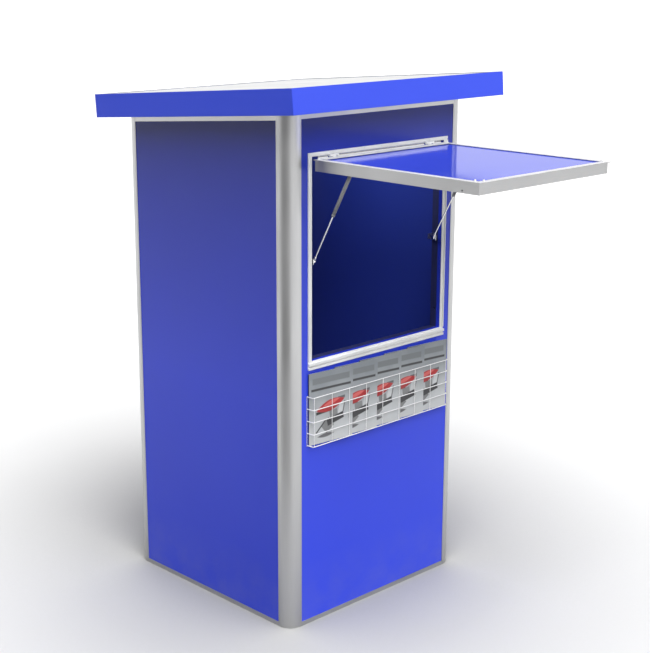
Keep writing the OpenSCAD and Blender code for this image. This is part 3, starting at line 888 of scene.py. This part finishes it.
def magazines():
    """The row of magazines, each with a curl of its own."""
    draw = random.Random(MAG_SEED)
    for index, (low, high) in enumerate(islands("magazines"), 1):
        magazine(index, (low + high) / 2, draw.uniform(*MAG_CURL))


rack_wires()
magazines()

# -------- gas struts


def strut_eye(hole, radius, bevel):
    """Profile of the ring at a strut's end."""
    half = 5 * MM
    side = [(hole, half), (radius - bevel, half), (radius, half - MM)]
    return [(r, -h) for r, h in side] + side[::-1]


def strut(side):
    """Cylinder with rolled ends, gland and eye, and a polished rod with its own eye."""
    cylinder, rod = f"{side}_strut_cylinder", f"{side}_strut_rod"
    pivot = Vector(JOINTS[f"strut_{side}_pivot"]["pos_m"])
    down = -Vector(JOINTS[f"strut_{side}_stroke"]["axis"]).normalized()
    _near, cyl_end = span(cylinder, pivot, down)
    _start, rod_end = span(rod, pivot, down)
    along_strut = frame_at(pivot, down)

    bm = bmesh.new()
    tube = mm((0, 6), (4.5, 6), (4.5, 13), (6, 13.5), (7.5, 16))
    tube += short_of(cyl_end, (7.5, 14), (6.9, 13), (6.9, 11.5), (7.5, 10.5), (7.5, 3), (5.9, 0), (3.2, 0))
    add_lathe(bm, tube, along_strut, steps=40)
    add_lathe(bm, strut_eye(3.05 * MM, 8 * MM, 0.8 * MM), frame_at(pivot, X_AXIS))
    remade(f"{side}_strut_tube", bm, cylinder)

    bm = bmesh.new()
    piston = short_of(cyl_end, (0, 10), (3, 10))
    piston += short_of(rod_end, (3, 32), (3, 31), (4.2, 31), (5, 30), (5, 15), (4, 13), (0, 12))
    add_lathe(bm, piston, along_strut, steps=28)
    foot = pivot + down * (rod_end - 7 * MM)
    add_lathe(bm, strut_eye(0, 7 * MM, 0.6 * MM), frame_at(foot, X_AXIS), steps=28)
    remade(f"{side}_strut_piston", bm, rod)


strut("left")
strut("right")

# -------- screws


def spread(half, count):
    """Evenly spaced places from -half to half."""
    return [-half + 2 * half * i / (count - 1) for i in range(count)]


def flap_screws():
    """Tall white heads at the corners of the flap's face."""
    low, _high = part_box("flap_outer_rail")
    _low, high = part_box("flap_right_rail")
    x = high.x - 16 * MM
    corner = ((x, low.y + 35 * MM), (x - 22 * MM, low.y + 13 * MM), (x, high.y - 14 * MM))
    places = [((side * a, b, high.z), Z_AXIS) for side in (-1, 1) for a, b in corner]
    screws("flap_screws", places, 4.6 * MM, "flap", "white_frame", rise=3.4)


def hinge_screws():
    """A row of heads along each hinge leaf."""
    radius, thick = 2.6 * MM, 2.5 * MM
    _low, wall_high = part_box("flap_hinge_wall_leaf")
    low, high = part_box("flap_hinge_flap_leaf")
    y = max(v.co.y for v in frame["nodes"]["flap_hinge_wall_leaf"].data.vertices) - thick
    z = wall_high.z - 5.5 * MM
    places = [((x, y, z), -Y_AXIS) for x in spread(wall_high.x - 17 * MM, 9)]
    screws("hinge_wall_screws", places, radius, "booth", "white_frame")
    places = [((x, low.y + 12 * MM, low.z + thick), Z_AXIS) for x in spread(high.x - 22 * MM, 7)]
    screws("hinge_flap_screws", places, radius, "flap", "white_frame")


def door_screws():
    """Three heads in each leaf of the three door hinges."""
    inset, thick, end = 9 * MM, 2.5 * MM, 14 * MM
    for node, body in (("door_hinge_frame_leaves", "booth"), ("door_hinge_leaf_leaves", "door")):
        places = []
        for low, high in islands(node):
            x = low.x + inset if body == "booth" else high.x - inset
            for z in (low.z + end, (low.z + high.z) / 2, high.z - end):
                places.append(((x, low.y + thick, z), Y_AXIS))
        screws(f"{node}_screws", places, 3.2 * MM, body)


flap_screws()
hinge_screws()
door_screws()

# -------- hinge pins and door furniture


def hinge_pins(node):
    """Pins with chamfered and slightly domed ends."""
    axis = "xyz".index(longest_axis_of(islands(node)[0]))
    toward = (X_AXIS, Y_AXIS, Z_AXIS)[axis]
    bm = bmesh.new()
    for low, high in islands(node):
        r = min(high[i] - low[i] for i in range(3)) / 2
        length = high[axis] - low[axis]
        start = (low + high) / 2 - toward * length / 2
        c = r * 0.3
        profile = [(0, 0), (r * 0.5, 0.1 * c), (r - c, 0.4 * c), (r, 1.4 * c)]
        mirrored = [(radius, length - h) for radius, h in reversed(profile)]
        add_lathe(bm, profile + mirrored, frame_at(start, toward), steps=28)
    remade(f"{node}_turned", bm, node)


def pull_handles():
    """Round grips on two stand-offs each, with domed ends and roses."""
    bm = bmesh.new()
    grip, post = 9 * MM, 7 * MM
    leaf_low, leaf_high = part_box("door_leaf_frame")
    for low, high in islands("door_pull_handles"):
        outside = low.y > (leaf_low.y + leaf_high.y) / 2
        face, y = (leaf_high.y, high.y - grip) if outside else (leaf_low.y, low.y + grip)
        x, reach = (low.x + high.x) / 2, abs(y - face)
        end = mm((0, 0), (5.4, 0.4), (8.1, 1.6), (9, 3.5))
        rod = end + [(r, high.z - low.z - h) for r, h in reversed(end)]
        add_lathe(bm, rod, frame_at((x, y, low.z), Z_AXIS), steps=36)
        foot = mm((0, 0), (14, 0), (14, 2.6), (12.6, 4), (8.2, 4), (7, 5.4)) + [(post, reach), (0, reach)]
        for z in (low.z + 20 * MM, high.z - 20 * MM):
            add_lathe(bm, foot, frame_at((x, face, z), Y_AXIS if outside else -Y_AXIS), steps=36)
    remade("door_pulls", bm, "door_pull_handles")


def lock_and_turn():
    """Lock barrel with a collar on each face, a keyway painted as a near-black inlay for the slot's shade, and the
    thumb turn inside.
    """
    low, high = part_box("door_lock_cylinder")
    x, z = (low.x + high.x) / 2, (low.z + high.z) / 2
    length, collar, barrel, bore = high.y - low.y, (high.x - low.x) / 2, 9 * MM, 4.2 * MM
    out, c, depth, rim = length - 2 * MM, 0.6 * MM, 17 * MM, 3 * MM
    profile = [(0, depth), (bore, depth), (bore, 0), (collar - c, 0), (collar, c), (collar, rim)]
    profile += [(barrel, rim), (barrel, out - rim), (collar, out - rim), (collar, out - c)]
    profile += [(collar - c, out), (barrel + c, out), (barrel, out), (barrel, length - c)]
    profile += [(barrel - c, length), (0, length)]
    bm = bmesh.new()
    add_lathe(bm, profile, frame_at((x, low.y, z), Y_AXIS), steps=40)
    remade("door_lock_barrel", bm, "door_lock_cylinder", smooth=30)

    bm = bmesh.new()
    # the keyway is not cut: a thin near-black inlay stands proud of the face, painted shade for the slot
    seat, half, top = high.y - MM, 0.6 * MM, z + 3 * MM
    add_block(bm, (x - half, seat, z - 4 * MM), (x + half, high.y + 0.05 * MM, top))
    add_lathe(bm, mm((0, 0), (1.3, 0), (1.3, 1.05), (0, 1.05)), frame_at((x, seat, top), Y_AXIS), steps=16)
    finished("door_keyway", bm, RUBBER, "door", smooth=35)

    low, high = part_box("door_thumb_turn")
    bm = bmesh.new()
    half, thick, seat = 4 * MM, 15 * MM, low.y + 14 * MM
    add_block(bm, (x - half, low.y, low.z), (x + half, low.y + thick, high.z))
    round_edges(bm, 1.6 * MM, segments=4)
    rose = mm((0, 0), (11, 0), (12, 1), (12, 8), (3.9, 8), (3.9, 26.5), (0, 26.9))
    add_lathe(bm, rose, frame_at((x, seat, z), Y_AXIS))
    remade("thumb_turn_knob", bm, "door_thumb_turn")


hinge_pins("flap_hinge_pins")
hinge_pins("door_hinge_pins")
pull_handles()
lock_and_turn()

# -------- seals


def door_seal():
    """Rubber bead round the door panel, inside and outside."""
    low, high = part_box("door_panel")
    radius, inset, proud = 2.4 * MM, 2.2 * MM, 0.5 * MM
    x0, x1, z0, z1 = low.x + inset, high.x - inset, low.z + inset, high.z - inset
    corners = [(x0, z0), (x1, z0), (x1, z1), (x0, z1)]
    bm = bmesh.new()
    for y in (low.y - proud, high.y + proud):
        for a, b in zip(corners, corners[1:] + corners[:1]):
            add_tube(bm, [(a[0], y, a[1]), (b[0], y, b[1])], radius)
    finished("door_glazing_bead", bm, RUBBER, "door", smooth=50)


SEAL_ARC, SEAL_STEPS = (-112, 2), 12
RUBBER_LINE = (-28, -10)  # degrees round the hinge


def hinge_seal():
    """Vinyl strip with a rubber line, curled round the hinge, closing the slot behind the raised flap."""
    axis = Vector(JOINTS["flap_hinge"]["pos_m"])
    _low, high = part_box("flap_hinge_flap_leaf")
    pin_low, pin_high = islands("flap_hinge_pins")[-1]
    half = high.x - 1 * MM
    room = (pin_high.x - pin_low.x) / 2 + 2 * MM
    hinge_x = (pin_low.x + pin_high.x) / 2
    cuts = [-half, -hinge_x - room, -hinge_x + room, hinge_x - room, hinge_x + room, half]
    outer = arc(axis, 8.8 * MM, *SEAL_ARC, SEAL_STEPS, YZ)
    inner = arc(axis, 7.8 * MM, *SEAL_ARC[::-1], SEAL_STEPS, YZ)
    bm = bmesh.new()
    for x0, x1 in zip(cuts[::2], cuts[1::2]):
        sides = [[bm.verts.new((x, p.y, p.z)) for p in outer + inner] for x in (x0, x1)]
        count = len(sides[0])
        for i in range(count):
            j = (i + 1) % count
            bm.faces.new([sides[0][i], sides[0][j], sides[1][j], sides[1][i]])
        for k in range(SEAL_STEPS):
            for side in sides:
                bm.faces.new([side[k], side[k + 1], side[count - 2 - k], side[count - 1 - k]])
    seal = finished("flap_hinge_seal", bm, [SEAL_VINYL, RUBBER], "flap", smooth=40)
    for face in seal.data.polygons:
        rise = math.degrees(math.atan2(face.center.z - axis.z, face.center.y - axis.y))
        face.material_index = int(RUBBER_LINE[0] < rise < RUBBER_LINE[1])


door_seal()
hinge_seal()

# -------- studio

FLOOR_RINGS = (0, 1.5, 4, 12, 60, 400)
FLOOR_FADE, FLOOR_GLOW = (1.0, 4.2), 0.45
# painted shade on the floor round the booth, from an occlusion node: how far it looks and the occlusion it spans
SHADE_REACH, SHADE_SPAN = 1.6, (0.45, 1.0)
# painted dark reflection: a grey floor patch that only glossy rays see, its direction, the cosines it spreads
# between and the distances where it starts
REFLECTED_DARK_WAY = (-0.93, -0.37, 0.0)
REFLECTED_DARK_SPREAD, REFLECTED_DARK_START = (0.72, 0.95), (1.9, 2.8)
WHITE, SHADED, PALE, PALER, REFLECTED_DARK_GREY = ((g, g, g) for g in (1, 0.33, 0.74, 0.8, 0.3))
# direction, cosines it fades between, brightness there: the horizon, and a lobe behind the booth
SKY = ((Z_AXIS, -0.2, 0.2, 0.1, 0.22), ((0.66, 0.69, 0.3), 0.75, 0.97, 0.0, 0.65))


def floor_reach(look, outward):
    """A floor point's distance from the centre, and the cosine between its place and a direction."""
    unit, dot, length = (look.tree.nodes.new("ShaderNodeVectorMath") for _ in range(3))
    unit.operation, dot.operation, length.operation = "NORMALIZE", "DOT_PRODUCT", "LENGTH"
    dot.inputs[1].default_value = outward
    place = look.place()
    look.link(place, unit.inputs[0])
    look.link(unit.outputs["Vector"], dot.inputs[0])
    look.link(place, length.inputs[0])
    return length.outputs["Value"], dot.outputs["Value"]


def studio_floor():
    """Pale floor with painted shade round the booth, glowing white far off. Glossy rays alone see a dark patch on
    its left, a painted dark reflection in the metal.
    """
    bm = bmesh.new()
    add_lathe(bm, [(r, 0) for r in FLOOR_RINGS], steps=64)
    bmesh.ops.delete(bm, geom=[f for f in bm.faces if len(f.verts) > 4], context="FACES_ONLY")
    floor = linked("studio_floor", mesh_of("studio_floor", bm))
    floor.visible_diffuse = False
    look = Look("studio_floor", specular=0.1)
    length, toward = floor_reach(look, REFLECTED_DARK_WAY)
    far = look.remap(length, *FLOOR_FADE, 0.0, 1.0)
    reflected_dark = look.math(
        "MULTIPLY", look.remap(toward, *REFLECTED_DARK_SPREAD, 0.0, 1.0), look.remap(length, *REFLECTED_DARK_START, 0.0, 1.0)
    )
    path = look.tree.nodes.new("ShaderNodeLightPath")
    # only glossy rays see the patch: a painted dark reflection in the metal
    reflected_dark = look.math("MULTIPLY", reflected_dark, path.outputs["Is Glossy Ray"])
    # painted shade: the floor darkens where the booth hides its sky
    shade = look.tree.nodes.new("ShaderNodeAmbientOcclusion")
    shade.inputs["Distance"].default_value = SHADE_REACH
    shade.samples = 16
    open_sky = look.remap(shade.outputs["AO"], *SHADE_SPAN, 0.0, 1.0)
    color = look.mix(open_sky, SHADED, PALE)
    color = look.mix(look.vary(look.noise(0.6, 3), 0, 0.1), color, PALER)
    color = look.mix(reflected_dark, color, REFLECTED_DARK_GREY)
    glow = look.math("MULTIPLY", look.math("MULTIPLY", far, FLOOR_GLOW), look.remap(reflected_dark, 0, 1, 1, 0))
    look.shader.inputs["Emission Color"].default_value = (*WHITE, 1)
    look.link(glow, look.shader.inputs["Emission Strength"])
    floor.data.materials.append(look.done(color, look.vary(look.noise(3, 3), 0.6, 0.75)))


def area_light(name, place, target, size, power):
    """Round lamp at a place, facing a target."""
    data = bpy.data.lights.new(name, "AREA")
    data.shape, data.size, data.energy = "DISK", size, power
    light = linked(name, data)
    light.location = place
    light.rotation_euler = (Vector(target) - Vector(place)).to_track_quat("-Z", "Y").to_euler()


def soft_sun(name, toward, spread, strength):
    """Light from one direction, as from a round sheet that many degrees wide."""
    data = bpy.data.lights.new(name, "SUN")
    data.angle, data.energy = math.radians(spread), strength
    light = linked(name, data)
    light.rotation_euler = Vector(toward).to_track_quat("Z", "Y").to_euler()
    light.location = Vector(toward) * 5


def studio_world():
    """Dim surroundings, dark below the horizon and bright behind the booth; white to the camera."""
    world = bpy.data.worlds.new("studio")
    world.use_nodes = True
    bpy.context.scene.world = world
    tree = world.node_tree
    background = tree.nodes["Background"]
    coords = tree.nodes.new("ShaderNodeTexCoord")
    parts = []
    for toward, *limits in SKY:
        dot = tree.nodes.new("ShaderNodeVectorMath")
        dot.operation = "DOT_PRODUCT"
        dot.inputs[1].default_value = toward
        ramp = tree.nodes.new("ShaderNodeMapRange")
        ramp.interpolation_type = "SMOOTHSTEP"
        for name, number in zip(RANGE_SOCKETS, limits):
            ramp.inputs[name].default_value = number
        tree.links.new(coords.outputs["Generated"], dot.inputs[0])
        tree.links.new(dot.outputs["Value"], ramp.inputs["Value"])
        parts.append(ramp.outputs["Result"])
    total = tree.nodes.new("ShaderNodeMath")
    total.operation = "ADD"
    for part, socket in zip(parts, total.inputs):
        tree.links.new(part, socket)
    path = tree.nodes.new("ShaderNodeLightPath")
    seen = tree.nodes.new("ShaderNodeMath")
    seen.operation = "MAXIMUM"
    tree.links.new(total.outputs["Value"], seen.inputs[0])
    tree.links.new(path.outputs["Is Camera Ray"], seen.inputs[1])
    tree.links.new(seen.outputs["Value"], background.inputs["Strength"])
    background.inputs["Color"].default_value = (*WHITE, 1)


def camera():
    """The photo's place, lens and shift."""
    data = bpy.data.cameras.new("photo_view")
    data.sensor_width = 36
    data.lens = 75.98
    data.shift_x, data.shift_y = 0.0264, -0.0015
    data.clip_end = 1000
    view = linked("photo_view", data)
    view.location = (-4.1922, -4.4667, 2.7535)
    view.rotation_euler = (math.radians(75.4), 0, math.radians(-43.75))
    bpy.context.scene.camera = view


studio_floor()
soft_sun("key", (-0.42, -0.74, 1.0), spread=60, strength=3.8)
soft_sun("front_fill", (0.5, -0.86, 0.18), spread=24, strength=0.45)
area_light("inside_fill", (-0.1, -0.2, 2.08), (0.5, 0.05, 1.75), size=0.22, power=2.2)
studio_world()
camera()
bpy.context.scene.view_settings.view_transform = "Standard"
